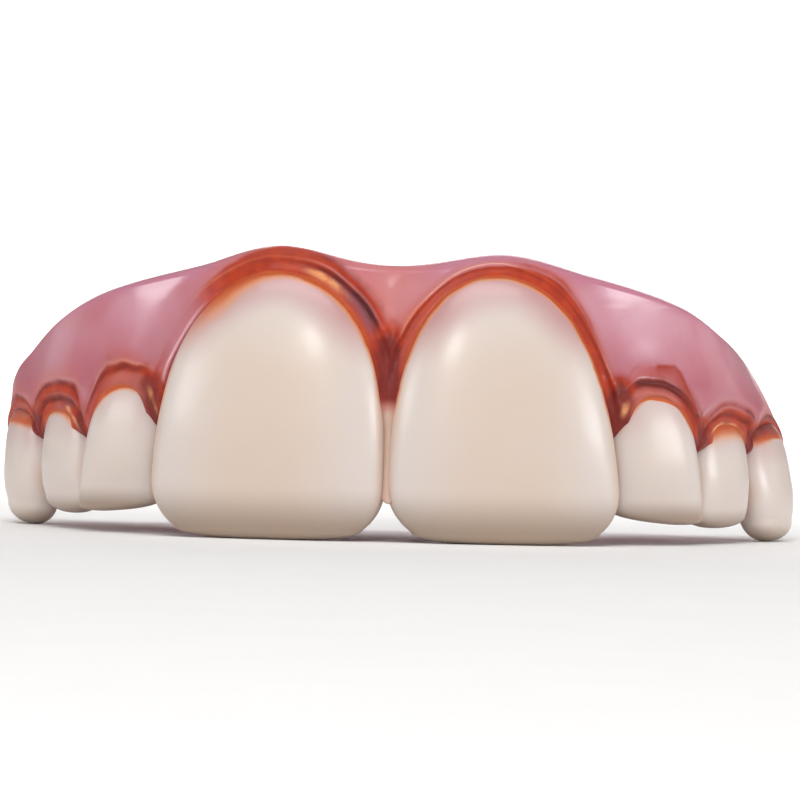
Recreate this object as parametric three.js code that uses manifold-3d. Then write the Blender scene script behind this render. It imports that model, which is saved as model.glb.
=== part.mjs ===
// Novelty false teeth: eight acrylic teeth set in a pink acrylic gum base.
// The base is a horseshoe channel that slips up over the wearer's own front teeth.
// Millimetres, +Z up, the front of the teeth towards -Y. It stands on its biting edges.
import * as THREE from "three";
import { mergeVertices } from "three/addons/utils/BufferGeometryUtils.js";
import Module from "manifold-3d";

// Plan of the gum base: one rounded arch, met by the front face of the gum
const FRONT_Y = -13.4;
const ARCH_HALF_WIDTH = 31.3;
const ARCH_REACH = 24;
const ARCH_CENTRE_Y = 13.6;
const ARCH_ROUNDNESS = 2.2;
const ARCH_END_ANGLE = 88.8;
const ARCH_STEPS = 66;

// Cross-section of the gum base: flange in front, channel, low wall behind
const LOW_FRONT_Z = 4.6;
const LOW_FRONT_TUCK = 2.2;
const LOW_FRONT_RISE = 3.9;
const FLOOR_Z = 6;
const FLANGE_TOP_Z = 21;
const FLANGE_LIP_Z = 20.4;
const FLANGE_THICKNESS = 2;
const FLANGE_FOOT = 5.2;
const FLANGE_ROWS = 13;
const LEAN_CURVE = 1.5;
const SECTION_BEHIND_FRONT = [
  { inset: 0.4, z: 20.9 },
  { inset: 1.0, z: FLANGE_TOP_Z },
  { inset: FLANGE_THICKNESS, z: FLANGE_LIP_Z },
  { inset: 3.2, z: 18 },
  { inset: 4.3, z: 15 },
  { inset: 5.0, z: 11 },
  { inset: FLANGE_FOOT, z: FLOOR_Z },
  { inset: 13.2, z: FLOOR_Z },
  { inset: 13.4, z: 11.8 },
  { inset: 14.2, z: 12.4 },
  { inset: 15.0, z: 11.8 },
  { inset: 15.2, z: FLOOR_Z },
  { inset: 14.9, z: 4.2 },
  { inset: 14.2, z: 3.5 },
  { inset: 3.1, z: 3.5 },
  { inset: 2.4, z: 3.8 },
];

// Height and inward lean of the flange along the arch, by angle from the middle, left to right
const FLANGE_LINE = [
  { angle: -90, top: 12.0, lean: 1.1 },
  { angle: -80, top: 13.6, lean: 1.1 },
  { angle: -71, top: 14.8, lean: 1.2 },
  { angle: -57, top: 17.0, lean: 1.3 },
  { angle: -46, top: 18.5, lean: 1.2 },
  { angle: -27, top: 20.5, lean: 1.0 },
  { angle: -14.5, top: 22.0, lean: 1.0 },
  { angle: 0, top: 20.7, lean: 1.0 },
  { angle: 14.5, top: 21.7, lean: 1.0 },
  { angle: 27, top: 20.4, lean: 1.0 },
  { angle: 46, top: 18.2, lean: 1.4 },
  { angle: 57, top: 16.2, lean: 1.9 },
  { angle: 71, top: 13.6, lean: 2.5 },
  { angle: 80, top: 12.2, lean: 2.6 },
  { angle: 90, top: 10.8, lean: 2.6 },
];

// Size of each tooth: front and back are depths from its middle plane
const TOOTH_KINDS = {
  central: {
    height: 20, root: 0.3, front: 3.0, back: 2.2, corner: 3.2, innerCorner: 4.0, edge: 0.42,
    lift: 0, seat: 0.5, neck: 10.5, spokes: 24, rings: 15,
  },
  lateral: {
    height: 9.4, root: 1.8, front: 2.3, back: 1.8, corner: 1.6, innerCorner: 1.2, edge: 0.46,
    lift: 1.7, seat: 1.0, neck: 8.6, spokes: 16, rings: 12,
  },
  canine: {
    height: 7.9, root: 1.8, front: 2.4, back: 1.8, corner: 2.2, innerCorner: 2.0, edge: 0.42,
    lift: 1.2, seat: 1.2, neck: 7.9, spokes: 16, rings: 12,
  },
  premolar: {
    height: 8.2, root: 1.8, front: 2.6, back: 2.0, corner: 2.3, innerCorner: 2.3, edge: 0.46,
    lift: 0, seat: 1.3, neck: 7.5, spokes: 16, rings: 12,
  },
};

// Place of each tooth: across from the middle, behind the front, turned outwards in degrees
const TOOTH_PLACES = [
  {
    name: "central_incisor_left", kind: "central", sign: -1, width: 17.7,
    across: 9.15, behind: 3.0, turn: 8, tilt: 0.035, lean: 1.0,
  },
  {
    name: "central_incisor_right", kind: "central", sign: 1, width: 16.9,
    across: 8.77, behind: 3.0, turn: 8, tilt: 0.035, lean: 1.0,
  },
  {
    name: "lateral_incisor_left", kind: "lateral", sign: -1, width: 7.6,
    across: 20.65, behind: 8.7, turn: 26, tilt: 0.03, lean: 0.5,
  },
  {
    name: "lateral_incisor_right", kind: "lateral", sign: 1, width: 8.0,
    across: 20.3, behind: 8.5, turn: 26, tilt: 0.03, lean: 0.5,
  },
  {
    name: "canine_left", kind: "canine", sign: -1, width: 7.4,
    across: 24.35, behind: 14.6, turn: 56, tilt: 0, lean: 0.5,
  },
  {
    name: "canine_right", kind: "canine", sign: 1, width: 7.6,
    across: 24.5, behind: 14.7, turn: 56, tilt: 0, lean: 0.6,
  },
  {
    name: "premolar_left", kind: "premolar", sign: -1, width: 7.4,
    across: 28.72, behind: 21.8, turn: 64, tilt: 0, lean: 0.5,
  },
  {
    name: "premolar_right", kind: "premolar", sign: 1, width: 7.4,
    across: 29.08, behind: 21.8, turn: 64, tilt: 0, lean: 1.6,
  },
];

// Rounding of a tooth: its outline towards the gum, its plan and its biting edge
const DOME_RISE = 3.5;
const DOME_SPREAD = 1.8;
const PLAN_ROUNDNESS = 2.5;
const DEPTH_DOME = 4;
const EDGE_RAMP = 0.45;
const EDGE_FACE_SHARE = 0.14;
const SOCKET_GAP = 0.3;
const WELD_DISTANCE = 1e-4;

// Roll of gum around each tooth
const COLLAR_REACH = 1.8;
const COLLAR_HOLD = 4;
const ROLL_HEIGHT = 0.55;
const ROLL_OFFSET = 1.2;
const ROLL_WIDTH = 0.9;
const OUTLINE_STEEPNESS_LEAST = 0.05;
const NECK_FADE = 2.5;
const SEAT_BELOW_NECK = -1.0;

const degrees = THREE.MathUtils.degToRad;
const clamp = THREE.MathUtils.clamp;
const smoothstep = THREE.MathUtils.smoothstep;

// Smooth value of one column of a table of rows at an angle
function columnAt(rows, column, angle) {
  const at = clamp(angle, rows[0].angle, rows[rows.length - 1].angle);
  let index = 0;
  while (index < rows.length - 2 && rows[index + 1].angle < at) {
    index += 1;
  }
  const slope = (i) => {
    const low = rows[Math.max(i - 1, 0)];
    const high = rows[Math.min(i + 1, rows.length - 1)];
    return (high[column] - low[column]) / (high.angle - low.angle);
  };
  const first = rows[index];
  const next = rows[index + 1];
  const span = next.angle - first.angle;
  const t = (at - first.angle) / span;
  const start = first[column] * (1 + 2 * t) * (1 - t) ** 2 + slope(index) * span * t * (1 - t) ** 2;
  const end = next[column] * t * t * (3 - 2 * t) - slope(index + 1) * span * t * t * (1 - t);
  return start + end;
}

// Arch line seen from above; an inset moves it towards the mouth
class Arch extends THREE.Curve {
  angleAt(t) {
    return degrees(ARCH_END_ANGLE) * (2 * t - 1);
  }

  pointAt(angle, inset) {
    const power = 2 / ARCH_ROUNDNESS;
    const sideways = Math.sign(angle) * Math.abs(Math.sin(angle)) ** power;
    const forward = Math.abs(Math.cos(angle)) ** power;
    return new THREE.Vector3(
      (ARCH_HALF_WIDTH - inset) * sideways,
      ARCH_CENTRE_Y - (ARCH_REACH - inset) * forward,
      0,
    );
  }

  getPoint(t) {
    return this.pointAt(this.angleAt(t), 0);
  }
}

const arch = new Arch();
arch.arcLengthDivisions = 600;

const teeth = TOOTH_PLACES.map((place) => ({
  ...TOOTH_KINDS[place.kind],
  ...place,
  cos: Math.cos(degrees(place.turn)),
  sin: Math.sin(degrees(place.turn)),
}));

// World point of a place on a tooth: along its width, out from its middle plane, up its height
function toothPoint(tooth, along, out, up) {
  const leaned = along - tooth.tilt * up;
  return new THREE.Vector3(
    tooth.sign * (tooth.across + leaned * tooth.cos + out * tooth.sin),
    FRONT_Y + tooth.behind + leaned * tooth.sin - out * tooth.cos,
    tooth.lift + up,
  );
}

// Tooth body: a sphere reshaped ring by ring from a flat biting edge to a domed root
function toothGeometry(tooth, grow) {
  const geometry = new THREE.SphereGeometry(1, tooth.spokes, tooth.rings);
  const position = geometry.attributes.position;
  const height = tooth.height + tooth.root + grow;
  const halfWidth = tooth.width / 2 + grow;
  const point = new THREE.Vector3();
  for (let i = 0; i < position.count; i += 1) {
    point.fromBufferAttribute(position, i);
    const ring = Math.acos(clamp(-point.y, -1, 1)) / Math.PI;
    const around = Math.atan2(point.z, point.x);
    const spread = Math.min(ring / EDGE_FACE_SHARE, 1);
    const climb = Math.max(ring - EDGE_FACE_SHARE, 0) / (1 - EDGE_FACE_SHARE);
    const share = Math.min((1 - Math.cos(Math.PI * climb)) / 2, 1);
    const up = share * height;
    const dome = (1 - share ** DOME_RISE) ** (1 / DOME_SPREAD);
    const ramp = Math.sin((Math.min(share / EDGE_RAMP, 1) * Math.PI) / 2);
    const depth = (tooth.edge + (1 - tooth.edge) * ramp) * Math.sqrt(1 - share ** DEPTH_DOME);
    const power = 2 / PLAN_ROUNDNESS;
    const cos = Math.cos(around);
    const sin = Math.sin(around);
    const corner = cos > 0 ? tooth.corner : tooth.innerCorner;
    const low = 1 - Math.min(up / corner, 1);
    const half = halfWidth * dome - corner * (1 - Math.sqrt(1 - low * low));
    const reach = (sin > 0 ? tooth.front : tooth.back) + grow;
    const along = spread * half * Math.sign(cos) * Math.abs(cos) ** power;
    const out = spread * reach * depth * Math.sign(sin) * Math.abs(sin) ** power;
    const placed = toothPoint(tooth, along, out - tooth.lean * share, up);
    position.setXYZ(i, placed.x, placed.y, placed.z);
  }
  return tooth.sign < 0 ? turnedFaces(geometry) : geometry;
}

// The same surface with every face turned over, for a mirrored tooth
function turnedFaces(geometry) {
  const index = geometry.index;
  for (let i = 0; i < index.count; i += 3) {
    const second = index.getX(i + 1);
    index.setX(i + 1, index.getX(i + 2));
    index.setX(i + 2, second);
  }
  return geometry;
}

// Where a point of the gum lies against a tooth: distance outside its outline, and out from it
function besideTooth(tooth, point) {
  const dx = tooth.sign * point.x - tooth.across;
  const dy = point.y - FRONT_Y - tooth.behind;
  const up = point.z - tooth.lift;
  const along = dx * tooth.cos + dy * tooth.sin + tooth.tilt * up;
  const sideways = Math.abs(along) / (tooth.width / 2);
  const rise = Math.max(up, 0) / tooth.height;
  const level = sideways ** DOME_SPREAD + rise ** DOME_RISE - 1;
  const steepness = Math.hypot(
    (DOME_SPREAD * sideways ** (DOME_SPREAD - 1)) / (tooth.width / 2),
    (DOME_RISE * rise ** (DOME_RISE - 1)) / tooth.height,
  );
  return {
    outside: level / Math.max(steepness, OUTLINE_STEEPNESS_LEAST),
    out: dx * tooth.sin - dy * tooth.cos,
    rise,
  };
}

// Front face of the gum: drawn up to each tooth and rolled around its neck
function sculptFront(point) {
  const move = new THREE.Vector3();
  let total = 0;
  for (const tooth of teeth) {
    const { outside, out, rise } = besideTooth(tooth, point);
    const under = clamp(-outside / COLLAR_REACH, 0, 1);
    const near = Math.exp(-((Math.max(outside, 0) / COLLAR_REACH) ** 2)) * (1 + COLLAR_HOLD * under);
    const neck = smoothstep(point.z, tooth.neck - NECK_FADE, tooth.neck);
    const roll = ROLL_HEIGHT * neck * Math.exp(-(((outside - ROLL_OFFSET) / ROLL_WIDTH) ** 2));
    const seat = THREE.MathUtils.lerp(SEAT_BELOW_NECK, tooth.seat, neck);
    const push = seat - tooth.lean * Math.min(rise, 1) - out + roll;
    move.x += tooth.sign * tooth.sin * push * near;
    move.y -= tooth.cos * push * near;
    total += near;
  }
  return point.addScaledVector(move, 1 / Math.max(total, 1));
}

// Outline of the cross-section: up the front of the flange, then round behind it
function gumSection() {
  const points = [];
  for (let row = 0; row <= FLANGE_ROWS; row += 1) {
    const z = THREE.MathUtils.lerp(LOW_FRONT_Z, FLANGE_LIP_Z, row / FLANGE_ROWS);
    points.push(new THREE.Vector2(0, z));
  }
  for (const { inset, z } of SECTION_BEHIND_FRONT) {
    points.push(new THREE.Vector2(inset, z));
  }
  return new THREE.Shape(points);
}

// Gum base before its sockets: the cross-section carried along the arch
function gumGeometry() {
  const options = { depth: 1, steps: ARCH_STEPS, bevelEnabled: false };
  const geometry = new THREE.ExtrudeGeometry(gumSection(), options);
  const position = geometry.attributes.position;
  for (let i = 0; i < position.count; i += 1) {
    const inset = position.getX(i);
    const level = position.getY(i);
    const angle = arch.angleAt(arch.getUtoTmapping(position.getZ(i)));
    const turned = THREE.MathUtils.radToDeg(angle);
    const share = Math.max(level - FLOOR_Z, 0) / (FLANGE_TOP_Z - FLOOR_Z);
    const top = columnAt(FLANGE_LINE, "top", turned);
    const z = Math.min(level, FLOOR_Z) + share * (top - FLOOR_Z);
    const onFlange = inset < FLANGE_FOOT ? 1 : 0;
    const lean = onFlange * columnAt(FLANGE_LINE, "lean", turned) * share ** LEAN_CURVE;
    const lowShare = 1 - smoothstep(z, LOW_FRONT_Z, LOW_FRONT_Z + LOW_FRONT_RISE);
    const tuck = inset === 0 ? LOW_FRONT_TUCK * lowShare : 0;
    const point = arch.pointAt(angle, inset + lean + tuck);
    point.z = z;
    if (inset <= FLANGE_THICKNESS) {
      sculptFront(point);
    }
    position.setXYZ(i, point.x, point.y, point.z);
  }
  return geometry;
}

const wasm = await Module();
wasm.setup();

function toSolid(geometry) {
  geometry.deleteAttribute("normal");
  geometry.deleteAttribute("uv");
  const merged = mergeVertices(geometry, WELD_DISTANCE);
  const kept = [];
  const index = merged.index.array;
  for (let i = 0; i < index.length; i += 3) {
    const [a, b, c] = [index[i], index[i + 1], index[i + 2]];
    if (a !== b && b !== c && c !== a) {
      kept.push(a, b, c);
    }
  }
  return new wasm.Manifold(new wasm.Mesh({
    numProp: 3,
    vertProperties: new Float32Array(merged.attributes.position.array),
    triVerts: new Uint32Array(kept),
  }));
}

function toMesh(name, solid, material) {
  const data = solid.getMesh();
  const geometry = new THREE.BufferGeometry();
  geometry.setAttribute("position", new THREE.BufferAttribute(new Float32Array(data.vertProperties), 3));
  geometry.setIndex(new THREE.BufferAttribute(new Uint32Array(data.triVerts), 1));
  geometry.computeVertexNormals();
  const mesh = new THREE.Mesh(geometry, material);
  mesh.name = name;
  return mesh;
}

const gumMaterial = new THREE.MeshStandardMaterial({ color: 0xca8590, roughness: 0.22, metalness: 0 });
const toothMaterial = new THREE.MeshStandardMaterial({ color: 0xdcc9bb, roughness: 0.2, metalness: 0 });

const group = new THREE.Group();
let gum = toSolid(gumGeometry());
for (const tooth of teeth) {
  gum = gum.subtract(toSolid(toothGeometry(tooth, SOCKET_GAP)));
}
group.add(toMesh("gum_base", gum, gumMaterial));
for (const tooth of teeth) {
  group.add(toMesh(tooth.name, toSolid(toothGeometry(tooth, 0)), toothMaterial));
}

export default group;
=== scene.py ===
import math
from types import SimpleNamespace

import bmesh
import bpy
import numpy as np
from mathutils import Matrix, Vector


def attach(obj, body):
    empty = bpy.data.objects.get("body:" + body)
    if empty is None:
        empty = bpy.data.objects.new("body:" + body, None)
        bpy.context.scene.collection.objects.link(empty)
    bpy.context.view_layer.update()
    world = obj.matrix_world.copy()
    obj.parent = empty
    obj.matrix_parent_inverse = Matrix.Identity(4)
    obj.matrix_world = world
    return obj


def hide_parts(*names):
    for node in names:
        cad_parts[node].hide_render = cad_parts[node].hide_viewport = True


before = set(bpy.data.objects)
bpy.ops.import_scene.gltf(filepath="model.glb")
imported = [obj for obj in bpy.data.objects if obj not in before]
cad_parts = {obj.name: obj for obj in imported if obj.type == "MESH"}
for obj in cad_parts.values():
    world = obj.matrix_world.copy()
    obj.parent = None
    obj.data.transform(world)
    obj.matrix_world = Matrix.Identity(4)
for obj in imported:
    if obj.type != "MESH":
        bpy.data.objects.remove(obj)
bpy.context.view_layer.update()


# Teeth: two oversized front teeth with three small ones on each side, cast in ivory acrylic.
# Each comes out of its mould with a rounded biting edge and a root that the gum is packed around.
# The neck takes a little of the brown stain that is brushed into the gum line.
MM = 0.001
FRONT_Y = -13.4
PLAN_ROUNDNESS = 2.5
EDGE_RAMP = 0.45
EDGE_RINGS = 0.16
CORNER_SHARE = 0.4
SLOPE_SHARE = 0.6
TOOTH_SEGMENTS = 96
TOOTH_RINGS = 84
LINE_TURNS = 721
LINE_POINTS = 240
LINE_FOOT = -6.0
LINE_NEAR = 7.0

# Millimetres: root is hidden in the gum, front and back are half depths, edge is the share of them
# left at the biting edge, bite and the corners are roundings, lift is the gap under the tooth, and
# the gum's collar starts at neck. Each roll of the collar has a place, a width and a height table.
TOOTH_KINDS = {
    "central": dict(
        height=20.0, root=0.3, rise_power=3.5, spread_power=1.8, depth_power=4, front=3.0, back=2.2,
        edge=0.46, corner=3.2, inner_corner=4.0, bite=0.9, bite_power=3, slope=0, lift=0, neck=10.5,
        cream=1.0, stain_from=(0.42, 0.55),
    ),
    "lateral": dict(
        height=9.4, root=1.8, rise_power=4, spread_power=2.2, depth_power=6, front=2.3, back=1.8,
        edge=0.5, corner=1.1, inner_corner=1.1, bite=0.7, bite_power=2.5, slope=-0.1, lift=1.7,
        neck=8.6, cream=0.35, stain_from=(0.68, 0.86),
        roll=[(0.36, 0.26, [(0, 0.16)]), (0.80, 0.13, [(0, -0.13)]), (1.12, 0.20, [(0, 0.11)])],
    ),
    "canine": dict(
        height=7.9, root=1.8, rise_power=5, spread_power=2.4, depth_power=6, front=2.3, back=1.8,
        edge=0.5, corner=2.4, inner_corner=1.9, bite=1.3, bite_power=2.2, slope=0, lift=1.2,
        neck=7.9, cream=0.3, stain_from=(0.76, 0.92),
        roll=[
            (0.36, 0.26, [(0, 0.14)]), (0.80, 0.13, [(0, -0.11)]),
            (1.22, 0.28, [(0, 0.15)]), (1.80, 0.16, [(0, -0.06)]),
        ],
    ),
    "premolar": dict(
        height=8.2, root=1.8, rise_power=8, spread_power=3.0, depth_power=8, front=2.5, back=2.0,
        edge=0.55, corner=2.8, inner_corner=4.0, bite=1.9, bite_power=2.2, slope=0, lift=0,
        neck=7.5, cream=0.45, stain_from=(0.88, 1.0),
        roll=[
            (0.36, 0.26, [(0, 0.10)]), (0.80, 0.16, [(0, -0.08)]),
            (1.45, 0.40, [(0, 0.10)]), (2.20, 0.22, [(0, -0.04)]),
        ],
    ),
}

# A tooth stands across from the middle and behind the front, turned in degrees. Lean and tilt tip
# it. Angles in the tables run round the neck: -90 beside the middle, 0 on top, 90 on the far side.
# They give the collar's width, the gum's seat on the tooth and each stain and painted light.
NOWHERE = [(0, 0)]
SMALL_STAIN = [(-68, 0), (-58, 1), (0, 0.95), (58, 1), (68, 0)]
SMALL_DARK = [(-60, 1.2), (-25, 0.9), (20, 0.9), (60, 1.2)]
TOOTH_PLACES = {
    "central_incisor_left": dict(
        kind="central", sign=-1, width=17.9, across=9.05, behind=3.0, turn=6.5, tilt=0.035,
        lean=1.0, corner=4.6,
        roll=[
            (0.22, 0.16, [(-60, 0.10), (20, 0.06), (42, 0.22), (70, 0.22)]),
            (0.64, 0.20, [(-60, -0.28), (-25, -0.22), (-8, -0.05), (20, 0), (70, 0)]),
            (1.08, 0.22, [(-60, 0.34), (-25, 0.34), (0, 0.2), (25, 0.12), (45, 0)]),
        ],
        collar=[(0, 1.3)], seat=[(-40, 0.8), (5, 0.8), (35, 0.3), (90, 0.2)],
        stain=[(-66, 0), (-60, 0.9), (-45, 1), (0, 1), (24, 1), (33, 0.8), (41, 0.2), (50, 0.05),
               (57, 0.3), (62, 0.6), (69, 0)],
        dark=[(-62, 1.6), (-45, 1.6), (-28, 1.1), (-10, 0.3), (20, 0.1), (45, 0.1), (58, 0.5),
              (66, 0.8)],
        peach=NOWHERE, reach=[(-60, 1.3), (-30, 1.5), (0, 1.75), (18, 1.5), (40, 1.1)],
        silver_sheen=[(-56, 0), (-46, 1), (-30, 1), (-20, 0)],
        ridge_light_and_shade=[(34, 0), (43, 1), (60, 1), (68, 0.2)],
        glaze=[(-60, 0.3), (-15, 0.35), (8, 0.7), (28, 1.5), (45, 0.9), (60, 0.3)],
    ),
    "central_incisor_right": dict(
        kind="central", sign=1, width=17.7, across=8.97, behind=3.0, turn=8, tilt=0.045, lean=1.0,
        rise_power=2.6, spread_power=2.1, corner=4.2, inner_corner=4.4,
        roll=[
            (0.20, 0.24, [(-60, 0.06), (60, 0.06)]),
            (0.60, 0.18, [(-60, -0.25), (-40, -0.1), (-20, 0), (40, 0), (60, -0.15)]),
            (1.02, 0.20, [(-60, 0.34), (0, 0.24), (60, 0.30)]),
        ],
        collar=[(0, 0.95)], seat=[(-40, 0.75), (25, 0.75), (50, 0.5), (90, 0.4)],
        stain=[(-66, 0), (-60, 1), (0, 1), (65, 1), (71, 0)],
        dark=[(-62, 0.8), (-50, 0.25), (-35, 0.1), (0, 0.1), (30, 0.2), (50, 0.4), (66, 0.9)],
        # On this tooth the peach lifts the stain on the flank toward the middle: painted light on a
        # flank that faces down into shade.
        peach=[(-64, 0.1), (-50, 0.35), (-25, 0.3), (-5, 0), (20, 0)],
        reach=[(-60, 1.5), (-45, 1.1), (-30, 0.9), (2, 0.85), (14, 1.2), (30, 1.5), (42, 1.3),
               (52, 1.0), (60, 1.1)],
        glaze=[(-60, 0.25), (0, 0.35), (60, 0.25)],
    ),
    "lateral_incisor_left": dict(
        kind="lateral", sign=-1, width=7.3, across=20.6, behind=8.7, turn=26, tilt=0.13, lean=0.5,
        roll=[
            (0.36, 0.26, [(-60, 0.20), (25, 0.20), (45, 0.06)]),
            (0.80, 0.13, [(-60, -0.16), (25, -0.16), (45, -0.03)]),
            (1.12, 0.20, [(-60, 0.16), (25, 0.16), (45, 0)]),
        ],
        collar=[(-60, 1.6), (-32, 2.25), (-8, 1.85), (18, 1.9), (32, 2.3), (46, 1.5), (60, 1.0)],
        seat=[(-70, 0.5), (-35, 1.7), (25, 1.7), (45, 1.1), (70, 0.8)],
        stain=[(-68, 0), (-58, 0.9), (0, 0.95), (20, 1), (40, 0.9), (52, 0.55), (62, 0.1)],
        dark=[(-60, 0.8), (-25, 0.45), (20, 0.6), (60, 1.0)],
        peach=[(-70, 0.7), (-18, 0.85), (16, 0.85), (42, 0)], reach=[(0, 1.05)],
        silver_sheen=[(-50, 0), (-40, 0.7), (-12, 0.7), (0, 0)],
        glaze=[(-60, 0.5), (0, 0.3), (60, 0.5)],
    ),
    "lateral_incisor_right": dict(
        kind="lateral", sign=1, width=8.0, across=20.3, behind=8.5, turn=26, tilt=0.11, lean=0.5,
        rise_power=3.4,
        collar=[(0, 1.5)], seat=[(-70, 0.5), (-35, 1.7), (35, 1.7), (70, 0.8)],
        stain=[(-68, 0), (-58, 1), (-30, 1), (-14, 0.9), (18, 0.9), (30, 1), (58, 1), (68, 0)],
        dark=[(-60, 0.9), (-25, 1.3), (15, 1.5), (28, 1.6), (60, 1.7)],
        peach=[(-40, 0), (-18, 1), (24, 1), (36, 0)], reach=[(0, 1.05)],
        glaze=[(-60, 0.6), (-25, 0.5), (-10, 0.12), (25, 0.12), (60, 0.4)],
    ),
    "canine_left": dict(
        kind="canine", sign=-1, width=7.4, across=24.8, behind=14.6, turn=56, tilt=0, lean=0.5,
        collar=[(-60, 1.45), (-30, 1.5), (0, 1.25), (40, 1.1), (60, 1.0)],
        seat=[(-70, 0.8), (-35, 1.9), (35, 1.9), (70, 1.3)],
        stain=SMALL_STAIN, dark=SMALL_DARK, peach=[(-20, 0), (0, 0.5), (20, 0)], reach=[(0, 1.8)],
        silver_sheen=[(-52, 0), (-44, 0.8), (-20, 0.8), (-8, 0)],
        glaze=[(-60, 0.9), (-20, 0.6), (10, 0.3), (60, 0.4)],
    ),
    "canine_right": dict(
        kind="canine", sign=1, width=7.6, across=24.95, behind=14.7, turn=56, tilt=0, lean=1.1,
        corner=1.6, bite=1.0,
        collar=[(0, 1.1)], seat=[(-70, 1.0), (-35, 2.0), (35, 2.0), (70, 1.5)],
        stain=SMALL_STAIN, dark=[(-60, 0.9), (-20, 0.5), (20, 0.55), (60, 1.1)], peach=[(0, 0.2)],
        reach=[(0, 1.25)], glaze=[(-60, 1.1), (0, 1.3), (60, 0.8)],
    ),
    "premolar_left": dict(
        kind="premolar", sign=-1, width=7.4, across=28.72, behind=21.8, turn=64, tilt=0, lean=0.4,
        inner_corner=5.2, edge=0.46, back=1.7,
        collar=[(0, 0.85)], seat=[(-70, 1.1), (-45, 1.8), (-10, 1.65), (60, 1.6)],
        stain=SMALL_STAIN, dark=SMALL_DARK, peach=[(0, 0.2)], reach=[(0, 2.4)],
        glaze=[(-60, 0.9), (0, 0.5), (60, 0.5)],
    ),
    "premolar_right": dict(
        kind="premolar", sign=1, width=7.3, across=29.2, behind=21.8, turn=64, tilt=0, lean=2.0,
        inner_corner=5.8, edge=0.44, back=1.6,
        collar=[(0, 0.95)], seat=[(-70, 1.2), (-45, 1.8), (-10, 1.4), (60, 1.1)],
        stain=SMALL_STAIN, dark=[(0, 1.2)], peach=[(0, 0.3)], reach=[(0, 2.0)],
        glaze=[(-60, 0.9), (-25, 0.6), (0, 0.15), (60, 0.15)],
    ),
}
teeth = {}
for name, place in TOOTH_PLACES.items():
    turn = math.radians(place["turn"])
    teeth[name] = SimpleNamespace(**{
        "name": name, "cos": math.cos(turn), "sin": math.sin(turn),
        "silver_sheen": NOWHERE, "ridge_light_and_shade": NOWHERE, **TOOTH_KINDS[place["kind"]], **place,
    })


def smooth(value, low, high):
    share = np.clip((value - low) / (high - low), 0, 1)
    return share * share * (3 - 2 * share)


def bell(value, middle, width):
    return np.exp(-(((value - middle) / width) ** 2))


def table_at(table, angle):
    rows = np.array(table, dtype=float)
    return np.interp(angle, rows[:, 0], rows[:, 1])


def tooth_point(tooth, along, out, up):
    leaned = along - tooth.tilt * up
    return np.stack([
        tooth.sign * (tooth.across + leaned * tooth.cos + out * tooth.sin),
        FRONT_Y + tooth.behind + leaned * tooth.sin - out * tooth.cos,
        tooth.lift + up,
    ], axis=1)


def gum_line(tooth):
    """The line where the gum meets a tooth, in even steps along the tooth and up it."""
    turn = np.radians(np.linspace(-90, 90, LINE_TURNS))
    side = np.sign(turn) * np.abs(np.sin(turn)) ** (2 / tooth.spread_power)
    rise = np.abs(np.cos(turn)) ** (2 / tooth.rise_power)
    half = tooth.width / 2
    arch = np.stack([side * half, rise * tooth.height], axis=1)
    line = np.vstack([[-half, LINE_FOOT], arch, [half, LINE_FOOT]])
    run = np.concatenate([[0], np.cumsum(np.hypot(*np.diff(line, axis=0).T))])
    at = np.linspace(0, run[-1], LINE_POINTS)
    return np.stack([np.interp(at, run, line[:, 0]), np.interp(at, run, line[:, 1])], axis=1)


def line_distance(line, points):
    """Distance of points from a line of straight pieces."""
    least = np.full(len(points), np.inf)
    for start, end in zip(line[:-1], line[1:]):
        run = end - start
        share = np.clip((points - start) @ run / (run @ run), 0, 1)
        gap = points - start - share[:, None] * run
        least = np.minimum(least, (gap * gap).sum(axis=1))
    return np.sqrt(least)


def beside_tooth(tooth, points):
    """Where points lie by a tooth: outside its gum line, out from its middle, round its neck."""
    dx = tooth.sign * points[:, 0] - tooth.across
    dy = points[:, 1] - FRONT_Y - tooth.behind
    up = points[:, 2] - tooth.lift
    along = dx * tooth.cos + dy * tooth.sin + tooth.tilt * up
    half = tooth.width / 2
    rise = np.maximum(up, 0) / tooth.height
    within = (np.abs(along) / half) ** tooth.spread_power + rise ** tooth.rise_power < 1
    outside = np.maximum(np.abs(along) - half, up - tooth.height)
    near = outside < LINE_NEAR
    outside[near] = line_distance(gum_line(tooth), np.stack([along[near], up[near]], axis=1))
    return SimpleNamespace(
        outside=np.where(within, -outside, outside),
        out=dx * tooth.sin - dy * tooth.cos,
        side=along / half,
        rise=rise,
        angle=np.degrees(np.arctan2(along / half, np.maximum(rise, 1e-6))),
    )


def mesh_points(mesh):
    flat = np.empty(len(mesh.vertices) * 3)
    mesh.vertices.foreach_get("co", flat)
    return flat.reshape(-1, 3) / MM


def note_on_mesh(mesh, name, values):
    layer = mesh.attributes.new(name, "FLOAT", "POINT")
    layer.data.foreach_set("value", np.asarray(values, dtype=np.float32))


def piece_from(bm, name):
    bmesh.ops.recalc_face_normals(bm, faces=bm.faces)
    if bm.calc_volume(signed=True) < 0:
        bmesh.ops.reverse_faces(bm, faces=bm.faces)
    for face in bm.faces:
        face.smooth = True
    mesh = bpy.data.meshes.new(name)
    bm.to_mesh(mesh)
    bm.free()
    piece = bpy.data.objects.new(name, mesh)
    bpy.context.scene.collection.objects.link(piece)
    return piece


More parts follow.
